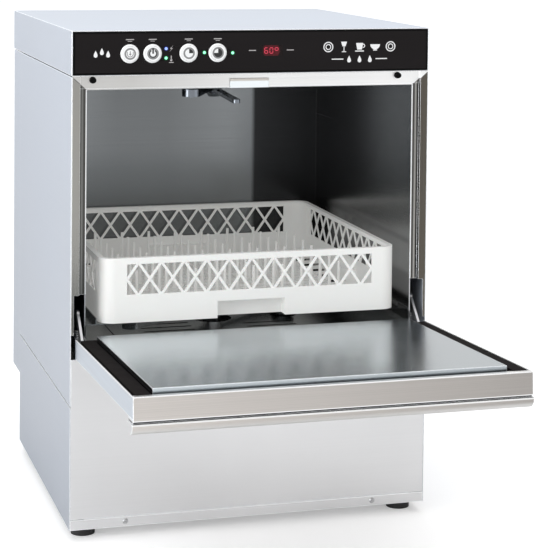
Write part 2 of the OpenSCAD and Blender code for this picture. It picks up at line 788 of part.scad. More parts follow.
// Round-cornered shell of the rack, with a rim that turns inwards
module rack_shell() difference() {
    linear_extrude(rack_h) round_rect(rack_w, rack_w, rack_corner);
    translate([0, 0, -1]) linear_extrude(rack_h - 3)
        round_rect(rack_w - 2 * rack_wall, rack_w - 2 * rack_wall, rack_corner - rack_wall);
    translate([0, 0, rack_h - 10]) linear_extrude(20)
        round_rect(rack_w - 18, rack_w - 18, rack_corner - 9);
}

// Crossed bars of one lattice window, on the rack's -Y side
module rack_lattice(half, z0, z1) {
    cell = 2 * rack_win / rack_cells;
    rise = z1 - z0 + 4;
    bar_a = atan2(rise, cell);
    bar_l = norm([rise, cell]) + 8;
    bar_w = 4.2;
    intersection() {
        block([-rack_win - 1.5, -half, z0 - 1.5], [rack_win + 1.5, -half + 4, z1 + 1.5]);
        for (k = [0 : rack_cells], s = [-1, 1])
            translate([-rack_win + k * cell, -half + 0.4 + 0.2 * s, (z0 + z1) / 2])
                rotate([0, s * bar_a, 0]) translate([-bar_l / 2, 0, -bar_w / 2]) cube([bar_l, 2, bar_w]);
    }
}

// One peg on a cross rib between two ribs of the rack's floor
module rack_peg(pitch) {
    block([-pitch / 2, -4, 0.5], [pitch / 2, 4, rib_h - 0.3]);
    translate([0, 0, rib_h - 1]) cylinder(h = 64, r1 = 3.5, r2 = 2.4, $fn = 24);
}

// Dish rack: lattice walls, hand holes, ribbed floor and pegs
module dish_rack() color("whitesmoke") translate([0, arm_y + 0.5, rack_z]) {
    half = rack_w / 2;
    z0 = 45;
    z1 = rack_h - 10;
    pitch = 50;
    difference() {
        union() {
            rack_shell();
            for (k = [-4 : 4]) {
                block([k * pitch - 2.5, -half + 2, 0.5], [k * pitch + 2.5, half - 2, rib_h]);
                block([-half + 2, k * pitch - 2.5, 0.5], [half - 2, k * pitch + 2.5, rib_h]);
            }
            four_sides() block([-59, -half + 1, 0.2], [59, -half + 22, 30]);
        }
        four_sides() {
            block([-rack_win, -half - 1, z0], [rack_win, -half + 5, z1]);
            block([-57, -half - 1, -1], [57, -half + 20, 28]);
        }
        for (sx = [-1, 1], sy = [-1, 1], k = [0 : 2])
            translate([sx * half, sy * (half - 27 - 5 * k), 0])
                block([-5, -1, z1 - 45 + 8 * k], [5, 1, z1]);
    }
    four_sides() rack_lattice(half, z0, z1);
    for (i = [0 : rack_pegs - 1], j = [0 : rack_pegs - 1])
        translate([(i - (rack_pegs - 1) / 2) * pitch, (j - (rack_pegs - 1) / 2) * pitch, 0])
            rack_peg(pitch);
}

// Levelling foot: rubber pad, nut and stud
module foot(x, y) color([0.12, 0.12, 0.12]) translate([x, y, 0]) {
    cylinder(h = 9, r = foot_r);
    translate([0, 0, 9]) cylinder(h = 3, r1 = foot_r, r2 = foot_r - 6);
    translate([0, 0, 12]) cylinder(h = foot_h - 13, r = 8);
    translate([0, 0, foot_h - 1]) cylinder(h = 34, r = stud_r);
}

module foot_front_left() foot(-foot_x, foot_y[0]);
module foot_front_right() foot(foot_x, foot_y[0]);
module foot_rear_left() foot(-foot_x, foot_y[1]);
module foot_rear_right() foot(foot_x, foot_y[1]);

base_frame();
front_frame();
wash_tank();
side_panel_left();
side_panel_right();
lower_panel_left();
lower_panel_right();
top_cover();
rear_cover();
rear_lower_panel();
front_panel();
kick_strip();
panel_screws();
rack_guides();
sump_filter();
standpipe();
tank_heater();
boiler();
boiler_element();
wash_pump_motor();
wash_pump_volute();
drain_pump();
drain_hose();
dosing_pumps();
inlet_valve();
wash_riser();
suction_hose();
lower_hub();
upper_hub();
control_panel();
control_board();
display_window();
led_lenses();
button_bezels();
door_bumpers();
spring_anchors();
hinge_brackets();
hinge_pins();
lower_wash_arm();
lower_rinse_arm();
upper_wash_arm();
upper_rinse_arm();
button_drain();
button_power();
button_short_cycle();
button_long_cycle();
pump_rotor();
door_catch();
dish_rack();
foot_front_left();
foot_front_right();
foot_rear_left();
foot_rear_right();
door_skin();
door_inner_pan();
door_gasket();
door_handle();
hinge_arms();
door_springs();
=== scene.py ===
import json
import math

import bpy
from mathutils import Matrix, Vector


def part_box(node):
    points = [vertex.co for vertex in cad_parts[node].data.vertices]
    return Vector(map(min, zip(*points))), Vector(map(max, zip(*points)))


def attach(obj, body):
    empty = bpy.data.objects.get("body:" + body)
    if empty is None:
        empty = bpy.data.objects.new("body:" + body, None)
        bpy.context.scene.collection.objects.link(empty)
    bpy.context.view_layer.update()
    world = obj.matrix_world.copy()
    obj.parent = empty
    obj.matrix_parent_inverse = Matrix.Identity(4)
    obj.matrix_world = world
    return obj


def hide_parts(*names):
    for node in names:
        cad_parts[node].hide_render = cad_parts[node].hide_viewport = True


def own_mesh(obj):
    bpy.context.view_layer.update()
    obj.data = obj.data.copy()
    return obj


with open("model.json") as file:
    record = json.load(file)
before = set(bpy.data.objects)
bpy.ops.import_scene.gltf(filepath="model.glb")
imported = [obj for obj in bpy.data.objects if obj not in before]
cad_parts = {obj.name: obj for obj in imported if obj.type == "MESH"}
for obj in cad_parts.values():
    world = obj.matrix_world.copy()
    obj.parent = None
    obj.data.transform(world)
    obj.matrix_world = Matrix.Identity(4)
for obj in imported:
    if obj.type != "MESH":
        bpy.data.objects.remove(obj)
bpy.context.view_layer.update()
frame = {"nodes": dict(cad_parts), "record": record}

MM = 0.001
NODES = frame["nodes"]


# ---------------------------------------------------------------- places taken from the frame

def side(node, index, high=True):
    """One face of a CAD node's box: index 0, 1, 2 is x, y, z."""
    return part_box(node)[1 if high else 0][index]


FLOOR_Z = 0.0
FACE_Y = side("control_panel", 1, False)
PANEL_TOP = side("control_panel", 2)
PANEL_BOTTOM = side("control_panel", 2, False)
PANEL_X = side("control_panel", 0)
CAP_Y = side("button_power", 1, False)
BUTTONS = ["button_drain", "button_power", "button_short_cycle", "button_long_cycle"]
BUTTON_X = [(side(n, 0) + side(n, 0, False)) / 2 for n in BUTTONS]
BUTTON_Z = (side("button_power", 2) + side("button_power", 2, False)) / 2
INK = 0.12 * MM                      # thickness of a printed mark
CAP_Z = PANEL_BOTTOM - 2 * MM        # lower edge of the top cover
HEAD_Z = CAP_Z - 23 * MM             # lower edge of the header
CASING_X = side("side_panel_right", 0)
TANK_X = side("wash_tank", 0) - 1.5 * MM
JAMB_X = TANK_X + 12 * MM            # where a jamb steps back to the chamber
SILL_Z = side("front_panel", 2) + 20 * MM
CATCH_Z = side("door_catch", 2)
SEAM_Z = side("lower_panel_left", 2)
SEAM_END = side("lower_panel_left", 1)
TANK_Y = side("wash_tank", 1, False)
DARK_X = 147 * MM                    # where the painted dark reflection starts on the back wall
HINGE = tuple(frame["record"]["behaviour"]["joints"][0]["pos_m"])
TILT = math.radians(2.6)             # upward slope of the open door
DOOR_UP = (0.0, math.sin(TILT), math.cos(TILT))
RIM = 11.1 * MM                      # top of the door's rim, above its hinge axis
BAND = -23.0 * MM                    # lower edge of its face band
BLUE_LAMP = (-148 * MM, PANEL_BOTTOM + 40.5 * MM)
DISPLAY = tuple((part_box("display_window")[0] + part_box("display_window")[1]) / 2)
GREEN_LAMPS = [(-148 * MM, PANEL_BOTTOM + 25.5 * MM), (-85 * MM, PANEL_BOTTOM + 33.5 * MM),
               (-38 * MM, PANEL_BOTTOM + 32.5 * MM)]


# ---------------------------------------------------------------- node helpers

class Shader:
    """A material's node tree, with short calls to add and join nodes."""

    def __init__(self, name):
        self.material = bpy.data.materials.new(name)
        self.material.use_nodes = True
        self.tree = self.material.node_tree
        self.bsdf = self.tree.nodes["Principled BSDF"]

    def add(self, kind, **settings):
        node = self.tree.nodes.new("ShaderNode" + kind)
        for key, value in settings.items():
            setattr(node, key, value)
        return node

    def join(self, source, target):
        self.tree.links.new(source, target)

    def put(self, socket, value):
        """Feeds a socket from another socket, or sets its value."""
        if isinstance(value, bpy.types.NodeSocket):
            self.join(value, socket)
        else:
            socket.default_value = value

    def math(self, operation, a, b=0.0, clamp=False):
        node = self.add("Math", operation=operation, use_clamp=clamp)
        self.put(node.inputs[0], a)
        self.put(node.inputs[1], b)
        return node.outputs[0]

    def vector(self, operation, a, b):
        node = self.add("VectorMath", operation=operation)
        self.put(node.inputs[0], a)
        self.put(node.inputs[1], b)
        return node.outputs["Value" if operation in ("DISTANCE", "LENGTH", "DOT_PRODUCT") else "Vector"]

    def mix(self, factor, a, b, kind="RGBA"):
        node = self.add("Mix", data_type=kind)
        pick, wanted = {"FLOAT": (0, "VALUE"), "VECTOR": (1, "VECTOR"), "RGBA": (2, "RGBA")}[kind]
        ins = [socket for socket in node.inputs if socket.type == wanted and socket.name in ("A", "B")]
        self.put(node.inputs[0], factor)
        self.put(ins[0], a)
        self.put(ins[1], b)
        return node.outputs[pick]

    def ramp(self, value, low, high, out_low, out_high):
        node = self.add("MapRange")
        for i, v in enumerate([value, low, high, out_low, out_high]):
            self.put(node.inputs[i], v)
        return node.outputs[0]

    def noise(self, vector, scale=1.0, detail=2.0, roughness=0.5):
        node = self.add("TexNoise")
        self.put(node.inputs["Vector"], vector)
        node.inputs["Scale"].default_value = scale
        node.inputs["Detail"].default_value = detail
        node.inputs["Roughness"].default_value = roughness
        return node.outputs["Fac"]

    def xyz(self, vector):
        """The three parts of a vector."""
        node = self.add("SeparateXYZ")
        self.join(vector, node.inputs[0])
        return node.outputs["X"], node.outputs["Y"], node.outputs["Z"]

    def place(self):
        """Object coordinates and the object's own normal."""
        node = self.add("TexCoord")
        return node.outputs["Object"], node.outputs["Normal"]

    def tint(self, tone, factor):
        """A colour times a grey level."""
        node = self.add("VectorMath", operation="SCALE")
        self.put(node.inputs[0], tone if isinstance(tone, bpy.types.NodeSocket) else tone[:3])
        self.put(node.inputs["Scale"], factor)
        return node.outputs[0]

    def edges(self, radius):
        """How close a point is to a folded edge, and the normal rounded over that edge."""
        node = self.add("Bevel", samples=6)
        node.inputs["Radius"].default_value = radius
        flat = self.add("NewGeometry").outputs["Normal"]
        turn = self.vector("DOT_PRODUCT", node.outputs[0], flat)
        return self.ramp(turn, 0.99, 0.88, 0.0, 1.0), node.outputs[0]

    def bump(self, height, strength, distance, normal=None):
        node = self.add("Bump")
        if normal is not None:
            self.join(normal, node.inputs["Normal"])
        node.inputs["Strength"].default_value = strength
        node.inputs["Distance"].default_value = distance
        self.put(node.inputs["Height"], height)
        self.put(self.bsdf.inputs["Normal"], node.outputs["Normal"])

    def set(self, **inputs):
        for name, value in inputs.items():
            self.put(self.bsdf.inputs[name.replace("_", " ").title()], value)


def colour(r, g, b):
    """An opaque linear colour."""
    return (r, g, b, 1.0)


def scaled(c, k):
    return colour(c[0] * k, c[1] * k, c[2] * k)


# ---------------------------------------------------------------- materials

PAINTED_EDGE_GLOW = 0.45                    # strength of the painted highlight that glows along a folded edge


def brushed_steel(name, base, rough=0.28, streak=0.08, side_painted_light=None, top_painted_light=None, paint=None,
                  fold=1.9 * MM, fine=700.0, posts=None):
    """Brushed stainless sheet: lines run across the front, up any posts, and front to back on the sides.

    The side and top colours are painted reflection and painted shade on those faces; with a top colour,
    the top is matt and the sides half matt.
    """
    s = Shader(name)
    at, normal = s.place()
    out_x, _, out_z = s.xyz(normal)
    on_side = s.math("GREATER_THAN", s.math("ABSOLUTE", out_x), 0.6)
    on_top = s.math("GREATER_THAN", out_z, 0.6)
    ahead = (1.3, fine, fine)
    if posts:
        x, _, _ = s.xyz(at)
        on_post = s.math("GREATER_THAN", s.math("ABSOLUTE", x), posts)
        ahead = s.mix(on_post, ahead, (fine, fine, 1.3), "VECTOR")
    along = s.mix(on_side, ahead, (fine, 1.3, fine), "VECTOR")
    line = s.noise(s.vector("MULTIPLY", at, along), 1.0, 2.0, 0.6)
    cloud = s.noise(at, 3.0, 3.0, 0.5)
    tone = base
    # painted reflection and shade: the sides and top take their own colours
    if side_painted_light:
        tone = s.mix(on_side, tone, side_painted_light)
    if top_painted_light:
        tone = s.mix(on_top, tone, top_painted_light)
    # painted light and shade by place, with dark joints where the function draws them
    if paint:
        tone = paint(s, at, tone)
    shade = s.ramp(line, 0.3, 0.7, 1.0 - streak, 1.0)
    shade = s.math("MULTIPLY", shade, s.ramp(cloud, 0.3, 0.7, 0.96, 1.0))
    tone = s.tint(tone, shade)
    # painted highlight: near a folded edge the colour goes towards white and glows
    if fold:
        edge, rounded = s.edges(fold)
        tone = s.mix(edge, tone, colour(0.95, 0.96, 0.97))
        s.put(s.bsdf.inputs["Emission Color"], s.tint(colour(0.9, 0.93, 0.95), edge))
        s.bsdf.inputs["Emission Strength"].default_value = PAINTED_EDGE_GLOW
    grit = s.ramp(line, 0.2, 0.8, rough - 0.04, rough + 0.04)
    matt = s.math("MAXIMUM", on_top, s.math("MULTIPLY", on_side, 0.6)) if top_painted_light else 0.0
    s.set(base_color=tone, metallic=s.mix(matt, 1.0, 0.0, "FLOAT"), anisotropic=0.3,
          roughness=s.math("ADD", grit, s.ramp(cloud, 0.4, 0.75, 0.0, 0.05)))
    s.put(s.bsdf.inputs["Specular IOR Level"], s.mix(matt, 0.5, 0.15, "FLOAT"))
    s.join(s.mix(on_side, (1.0, 0.0, 0.0), (0.0, 1.0, 0.0), "VECTOR"), s.bsdf.inputs["Tangent"])
    s.bump(line, 0.05, 0.00003, rounded if fold else None)
    return s.material


def machined_steel(name, base, rough=0.3, grain=400.0):
    """Small plated or turned metal parts, with fine mottling."""
    s = Shader(name)
    at, _ = s.place()
    mottle = s.noise(at, grain, 3.0, 0.6)
    cloud = s.noise(at, 18.0, 3.0, 0.5)
    tone = s.mix(s.ramp(cloud, 0.3, 0.7, 0.0, 0.35), base, scaled(base, 0.7))
    s.set(base_color=tone, metallic=1.0, roughness=s.ramp(mottle, 0.2, 0.8, rough - 0.08, rough + 0.1))
    s.bump(mottle, 0.15, 0.00008)
    return s.material


def moulded(name, base, rough=0.42, grain=900.0, relief=0.00005, wear=0.08, soft=0.0, coat=0.0,
            gloss=0.5, glow=0.0):
    """Moulded plastic or rubber: fine skin grain, faint clouding and rubbed patches."""
    s = Shader(name)
    at, _ = s.place()
    skin = s.noise(at, grain, 2.0, 0.6)
    cloud = s.noise(at, 9.0, 4.0, 0.6)
    rub = s.noise(at, 60.0, 3.0, 0.65)
    tone = s.mix(s.ramp(cloud, 0.3, 0.75, 0.0, wear * 2), base, scaled(base, 0.82))
    tone = s.mix(s.ramp(rub, 0.6, 0.8, 0.0, wear), tone, scaled(base, 0.6))
    s.set(base_color=tone, roughness=s.ramp(rub, 0.3, 0.75, rough - 0.05, rough + 0.08))
    s.set(coat_weight=coat, subsurface_weight=soft)
    s.bsdf.inputs["Specular IOR Level"].default_value = gloss
    # a glow above zero is painted light: the moulding's own colour emits though it is no lamp
    s.put(s.bsdf.inputs["Emission Color"], tone)
    s.bsdf.inputs["Emission Strength"].default_value = glow
    s.bsdf.inputs["Subsurface Scale"].default_value = 0.003
    s.bump(skin, 0.25, relief)
    return s.material


def fascia(name):
    """Black satin fascia with the lamps' light spilling on it."""
    s = Shader(name)
    at, _ = s.place()
    grain = s.noise(at, 1400.0, 1.0, 0.5)
    haze = s.noise(s.vector("MULTIPLY", at, (4.0, 4.0, 16.0)), 1.0, 3.0, 0.5)
    tone = s.mix(haze, colour(0.0080, 0.0066, 0.0068), colour(0.0112, 0.0094, 0.0098))
    x, _, z = s.xyz(at)
    out = s.math("ABSOLUTE", s.math("SUBTRACT", z, (PANEL_TOP + PANEL_BOTTOM) / 2))
    side_gap = s.math("SUBTRACT", PANEL_X, s.math("ABSOLUTE", x))
    inset = s.math("MINIMUM", s.math("SUBTRACT", (PANEL_TOP - PANEL_BOTTOM) / 2, out), side_gap)
    tone = s.mix(s.ramp(inset, 2.5 * MM, 3.5 * MM, 1.0, 0.0), tone, colour(0.0005, 0.0005, 0.0005))
    s.set(base_color=tone, roughness=s.ramp(haze, 0.3, 0.7, 0.40, 0.50))
    s.bsdf.inputs["Specular IOR Level"].default_value = 0.09
    s.bump(grain, 0.10, 0.00004)
    glow = None
    for (x, z), light in [(BLUE_LAMP, colour(0.1, 0.16, 1.0))] + [
            (p, colour(0.05, 0.8, 0.3)) for p in GREEN_LAMPS]:
        gap = s.vector("DISTANCE", at, (x, FACE_Y, z))
        near = s.ramp(gap, 1.8 * MM, 4.6 * MM, 1.0, 0.0)
        part = s.mix(s.math("POWER", near, 2.2), colour(0, 0, 0), light)
        if glow is None:
            glow = part
        else:
            joined = s.add("Mix", data_type="RGBA", blend_type="ADD")
            joined.inputs[0].default_value = 1.0
            s.put(joined.inputs[6], glow)
            s.put(joined.inputs[7], part)
            glow = joined.outputs[2]
    s.put(s.bsdf.inputs["Emission Color"], glow)
    s.bsdf.inputs["Emission Strength"].default_value = 0.5
    return s.material


def lamp_glass(name):
    """Lit lamp lenses: the blue one is told from the green ones by its place."""
    s = Shader(name)
    at, _ = s.place()
    x, z = BLUE_LAMP
    near_blue = s.math("LESS_THAN", s.vector("DISTANCE", at, (x, FACE_Y, z)), 12 * MM)
    tone = s.mix(near_blue, colour(0.10, 0.85, 0.35), colour(0.07, 0.12, 0.75))
    cell = s.noise(at, 1500.0, 2.0, 0.5)
    lit = s.mix(s.ramp(cell, 0.3, 0.7, 0.25, 0.75), tone, colour(0.75, 1.0, 0.9))
    s.set(base_color=tone, roughness=s.ramp(cell, 0.3, 0.7, 0.15, 0.3), coat_weight=0.6)
    s.put(s.bsdf.inputs["Emission Color"], lit)
    s.bsdf.inputs["Emission Strength"].default_value = 1.0
    return s.material


def display_glass(name):
    """Smoked window: black at both ends, with a faint red haze behind its middle."""
    s = Shader(name)
    at, _ = s.place()
    haze = s.noise(at, 120.0, 2.0, 0.5)
    lit = s.ramp(s.vector("DISTANCE", at, DISPLAY), 13 * MM, 15 * MM, 1.0, 0.0)
    s.set(base_color=s.mix(haze, colour(0.008, 0.006, 0.006), colour(0.014, 0.008, 0.008)))
    s.set(roughness=s.ramp(haze, 0.3, 0.7, 0.22, 0.32))
    s.bsdf.inputs["Specular IOR Level"].default_value = 0.12
    red = s.mix(haze, colour(0.10, 0.006, 0.012), colour(0.20, 0.012, 0.022))
    s.put(s.bsdf.inputs["Emission Color"], s.tint(red, lit))
    s.bsdf.inputs["Emission Strength"].default_value = 0.5
    return s.material


def ink(name, base, glow=0.0):
    """Printed or lit mark, slightly uneven."""
    s = Shader(name)
    at, _ = s.place()
    grain = s.noise(at, 2500.0, 2.0, 0.5)
    tone = s.mix(grain, scaled(base, 0.9), base)
    s.set(base_color=tone, roughness=s.ramp(grain, 0.3, 0.7, 0.35, 0.5))
    if glow:
        s.put(s.bsdf.inputs["Emission Color"], tone)
        s.bsdf.inputs["Emission Strength"].default_value = glow
    return s.material


def circuit_green(name):
    """Circuit board with tracks."""
    s = Shader(name)
    at, _ = s.place()
    cell = s.add("TexVoronoi", feature="DISTANCE_TO_EDGE", distance="CHEBYCHEV")
    cell.inputs["Scale"].default_value = 160.0
    s.join(at, cell.inputs["Vector"])
    track = s.math("LESS_THAN", cell.outputs["Distance"], 0.06)
    s.set(base_color=s.mix(track, colour(0.01, 0.09, 0.03), colour(0.05, 0.2, 0.07)))
    s.set(roughness=s.mix(track, 0.5, 0.3, "FLOAT"))
    return s.material


def frame_painted_light(s, at, tone):
    """Door frame: painted reflections, shade and a highlight: header lighter to the right, grey jambs
    with a dark recess, a bright tank edge; mitred corners drawn as dark joints.
    """
    x, _, z = s.xyz(at)
    across = s.math("ABSOLUTE", x)
    right = s.math("GREATER_THAN", x, 0.0)
    # painted reflection: header lighter to the right, jambs darker on the right
    header = s.mix(s.ramp(x, -0.20, 0.02, 0.0, 1.0), colour(0.68, 0.67, 0.65), colour(0.99, 0.99, 0.98))
    jamb = s.mix(right, colour(0.375, 0.366, 0.34), colour(0.12, 0.108, 0.09))
    # painted shade in the recess, with a lighter painted stripe
    recess_edge = s.math("ABSOLUTE", s.math("SUBTRACT", across, JAMB_X - 5 * MM))
    recess = s.mix(s.ramp(recess_edge, 0.0, 2.5 * MM, 1.0, 0.0), colour(0.085, 0.083, 0.078),
                   s.mix(right, colour(0.23, 0.23, 0.22), colour(0.52, 0.51, 0.48)))
    # painted highlight along the tank's edge
    recess = s.mix(s.math("LESS_THAN", across, TANK_X + 1.7 * MM), recess, colour(0.93, 0.93, 0.93))
    post = s.mix(s.math("GREATER_THAN", across, JAMB_X - 0.1 * MM), recess, jamb)
    rise = s.math("SUBTRACT", z, HEAD_Z)
    out = s.math("MULTIPLY", s.math("SUBTRACT", across, TANK_X), (CAP_Z - HEAD_Z) / (CASING_X - TANK_X))
    above = s.math("SUBTRACT", rise, out)
    tone = s.mix(s.math("GREATER_THAN", above, 0.0), post, header)
    mitre = s.math("MULTIPLY", s.ramp(s.math("ABSOLUTE", above), 0.4 * MM, 1.1 * MM, 1.0, 0.0),
                   s.math("GREATER_THAN", rise, 1 * MM))
    return s.mix(mitre, tone, colour(0.16, 0.155, 0.15))


def band_painted_light(s, at, tone):
    """Door edge: darker to the right in painted shade, with painted highlights on its folds, painted
    shade in the groove and a painted light patch at its foot.
    """
    x, _, _ = s.xyz(at)
    # painted shade: darker to the right
    tone = s.tint(tone, s.ramp(x, -0.28, 0.28, 1.0, 0.66))
    out = s.vector("DOT_PRODUCT", s.vector("SUBTRACT", at, HINGE), DOOR_UP)
    # painted highlights on the folds, painted shade in the groove
    painted_highlight_level, shaded = 0.97, 0.02
    for low, high, level in [(RIM - 1.6 * MM, RIM + 1 * MM, painted_highlight_level),
                             (BAND - 0.2 * MM, BAND + 1.5 * MM, painted_highlight_level),
                             (BAND - 3.5 * MM, BAND - 0.2 * MM, shaded),
                             (BAND - 5.6 * MM, BAND - 3.5 * MM, painted_highlight_level)]:
        inside = s.math("MULTIPLY", s.math("GREATER_THAN", out, low), s.math("LESS_THAN", out, high))
        tone = s.mix(inside, tone, colour(level, level, level * 0.99))
    # painted light at the foot of the band
    return s.mix(s.ramp(out, BAND - 9 * MM, BAND - 15 * MM, 0.0, 0.7), tone, colour(0.85, 0.85, 0.84))


def casing_painted_light_and_seam(s, at, tone):
    """Casing: painted shade darkens the sides towards the floor, the side seam is a dark joint, and
    painted light lifts the lower front under the door's shadow.
    """
    x, y, z = s.xyz(at)
    across = s.math("ABSOLUTE", x)
    lower = s.math("MULTIPLY", s.math("LESS_THAN", z, SILL_Z), s.math("LESS_THAN", y, -0.2))
    # painted light: the lower front is brightened, most at the bottom and least at its ends
    under_door_painted_light = s.math("MULTIPLY", s.ramp(z, 0.02, 0.26, 1.22, 1.0), s.ramp(across, 0.04, 0.25, 1.0, 0.90))
    front = s.mix(lower, 1.0, under_door_painted_light, "FLOAT")
    from_seam = s.math("ABSOLUTE", s.math("SUBTRACT", z, SEAM_Z))
    gap = s.math("MAXIMUM", from_seam, s.math("SUBTRACT", y, SEAM_END))
    seam = s.ramp(gap, 0.9 * MM, 1.5 * MM, 0.35, 1.0)
    # painted shade: the sides darken towards the floor; the seam is a dark joint
    side_painted_shade_and_seam = s.math("MULTIPLY", s.ramp(z, 0.0, 0.8, 0.735, 1.15), seam)
    return s.tint(tone, s.mix(s.math("GREATER_THAN", across, CASING_X - 2 * MM), front, side_painted_shade_and_seam, "FLOAT"))


def pan_painted_shade(s, at, tone):
    """Door lining: painted shade, a little darker to the right."""
    x, _, _ = s.xyz(at)
    return s.tint(tone, s.ramp(x, -0.22, 0.22, 0.94, 0.76))


def chamber_painted_light(s, at, tone):
    """Chamber: grey back wall with painted light patches, a painted dark reflection on its right, a dark
    side in painted shade that lightens towards the front, and a painted highlight on the tank's front
    edge.
    """
    x, y, z = s.xyz(at)
    # painted light patches high on the back wall
    drift = s.noise(s.vector("MULTIPLY", at, (4.0, 3.0, 2.5)), 1.0, 2.0, 0.4)
    ends = s.math("MAXIMUM", s.ramp(x, -0.12, -0.24, 0.0, 0.55), s.ramp(x, -0.02, DARK_X, 0.0, 1.0))
    high = s.ramp(z, 0.45, 0.70, 0.2, 1.0)
    light = s.math("MULTIPLY", s.math("MULTIPLY", ends, high), s.ramp(drift, 0.3, 0.6, 0.6, 1.0))
    wall = s.mix(light, tone, scaled(tone, 2.3))
    # painted dark reflection on the right of the back wall
    dark = s.ramp(x, DARK_X - 4 * MM, DARK_X + 4 * MM, 0.0, 1.0)
    wall = s.mix(dark, wall, colour(0.050, 0.051, 0.053))
    # painted shade on the side wall, lighter towards the front
    forward = s.ramp(y, 0.15, -0.25, 0.0, 1.0)
    near = s.mix(forward, colour(0.085, 0.086, 0.087), colour(0.34, 0.345, 0.35))
    above = s.math("GREATER_THAN", z, SILL_Z)
    wall = s.mix(s.math("MULTIPLY", s.math("GREATER_THAN", x, TANK_X - 1 * MM), above), wall, near)
    inner = s.mix(above, tone, wall)
    # painted highlight on the tank's front edge
    return s.mix(s.math("LESS_THAN", y, TANK_Y + 1 * MM), inner, colour(0.62, 0.63, 0.64))


def catch_plastic(name):
    """Door catch: a white face under a greyer upper edge, the grey being painted shade."""
    s = Shader(name)
    at, _ = s.place()
    _, _, z = s.xyz(at)
    grain = s.noise(at, 900.0, 2.0, 0.6)
    # painted shade on the upper edge
    upper = s.ramp(z, CATCH_Z - 5 * MM, CATCH_Z - 3 * MM, 0.0, 1.0)
    tone = s.mix(upper, colour(0.80, 0.84, 0.86), colour(0.52, 0.49, 0.45))
    s.set(base_color=s.mix(grain, tone, s.tint(tone, 0.94)),
          roughness=s.ramp(grain, 0.2, 0.8, 0.30, 0.40))
    s.bump(grain, 0.25, 0.00005)
    return s.material


# painted reflection: bluish side and top colours on the casing
casing = brushed_steel("casing_brushed", colour(0.76, 0.76, 0.765), 0.32, 0.025,
                       side_painted_light=colour(0.478, 0.511, 0.568), top_painted_light=colour(0.61, 0.665, 0.75),
                       paint=casing_painted_light_and_seam)
# painted reflection: bluish sides on the door
door_sheet = brushed_steel("door_brushed", colour(0.66, 0.62, 0.585), 0.30, 0.14,
                           side_painted_light=colour(0.60, 0.65, 0.71), paint=band_painted_light, fine=1300.0)
# painted shade: dark sides on the door lining
pan_sheet = brushed_steel("pan_satin", colour(0.70, 0.765, 0.81), 0.22, 0.04,
                          side_painted_light=colour(0.25, 0.26, 0.27), paint=pan_painted_shade)
frame_sheet = brushed_steel("frame_brushed", colour(0.80, 0.80, 0.79), 0.28, 0.04,
                            paint=frame_painted_light, fold=0.8 * MM, posts=TANK_X)
# painted shade: the chamber steel is given a dark colour
chamber = brushed_steel("chamber_satin", colour(0.20, 0.21, 0.215), 0.22, 0.03,
                        paint=chamber_painted_light, fold=None)
arm_steel = brushed_steel("arm_satin", colour(0.72, 0.73, 0.74), 0.22, 0.06, fold=None)
shaded_arm_steel = brushed_steel("arm_shaded", colour(0.24, 0.26, 0.29), 0.22, 0.06, fold=None)
hardware = machined_steel("hardware_zinc", colour(0.55, 0.55, 0.56), 0.35)
boiler_steel = machined_steel("boiler_steel", colour(0.6, 0.6, 0.6), 0.38)
brass = machined_steel("element_brass", colour(0.72, 0.52, 0.24), 0.32)
motor_paint = moulded("motor_paint", colour(0.06, 0.065, 0.075), 0.45, 700.0)
pump_plastic = moulded("pump_plastic", colour(0.62, 0.6, 0.54), 0.45)
drain_plastic = moulded("drain_plastic", colour(0.03, 0.035, 0.035), 0.5)
doser_plastic = moulded("doser_plastic", colour(0.04, 0.1, 0.3), 0.4)
hose_rubber = moulded("hose_rubber", colour(0.045, 0.045, 0.048), 0.6)
fascia_black = fascia("fascia_black")
board_green = circuit_green("board_green")
display_red = display_glass("display_red")
lamp_lens = lamp_glass("lamp_lens")
bezel_white = moulded("bezel_white", colour(0.86, 0.86, 0.86), 0.3, wear=0.03, coat=0.3)
button_white = moulded("button_white", colour(0.80, 0.80, 0.80), 0.34, wear=0.03, coat=0.2)
bumper_rubber = moulded("bumper_rubber", colour(0.004, 0.004, 0.004), 0.6, gloss=0.03)
catch_white = catch_plastic("catch_white")
# painted light: the rack glows a little though it is no lamp
rack_plastic = moulded("rack_plastic", colour(0.69, 0.69, 0.67), 0.42, wear=0.04, soft=0.05, glow=0.24)
gasket_rubber = moulded("gasket_rubber", colour(0.016, 0.014, 0.014), 0.7, 600.0, 0.0001, 0.2, gloss=0.02)
foot_rubber = moulded("foot_rubber", colour(0.018, 0.018, 0.018), 0.55)

